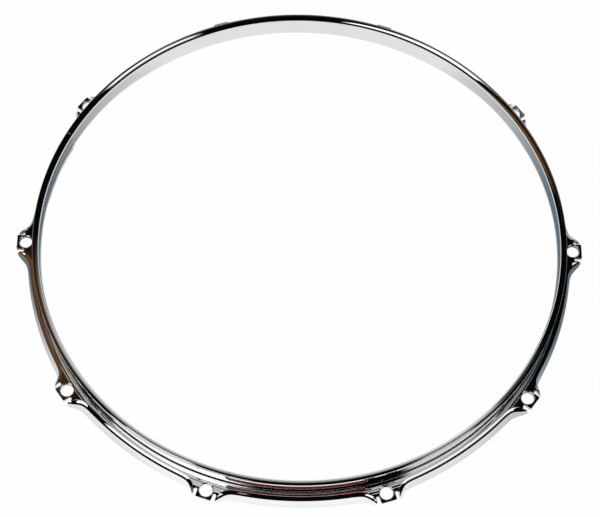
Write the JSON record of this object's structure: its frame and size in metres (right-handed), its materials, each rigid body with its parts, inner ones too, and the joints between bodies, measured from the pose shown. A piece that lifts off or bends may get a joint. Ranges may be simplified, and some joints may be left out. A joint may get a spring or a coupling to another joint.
{
  "type": "drum hoop",
  "caption": "Chromed pressed-steel counter hoop for a drum: outward rim flange, upright wall, flat shelf and folded skirt that swells into slit, drilled tension rod ears.",
  "frame": {"origin": "on the hoop's axis, in the plane of the skirt's lower edge, which the hoop lies on", "axes": "+Z along the hoop's axis towards the rim that the sticks strike; the red band faces -Y and two of the ears lie on the X axis"},
  "size_m": [0.3944, 0.3788, 0.0278],
  "materials": {
    "chrome": "polished",
    "plated_weld": "polished",
    "red_foil": "gloss"
  },
  "bodies": {
    "root": {"hoop_strip": "chrome", "weld_seam": "plated_weld", "accent_band": "red_foil"}
  },
  "joints": []
}
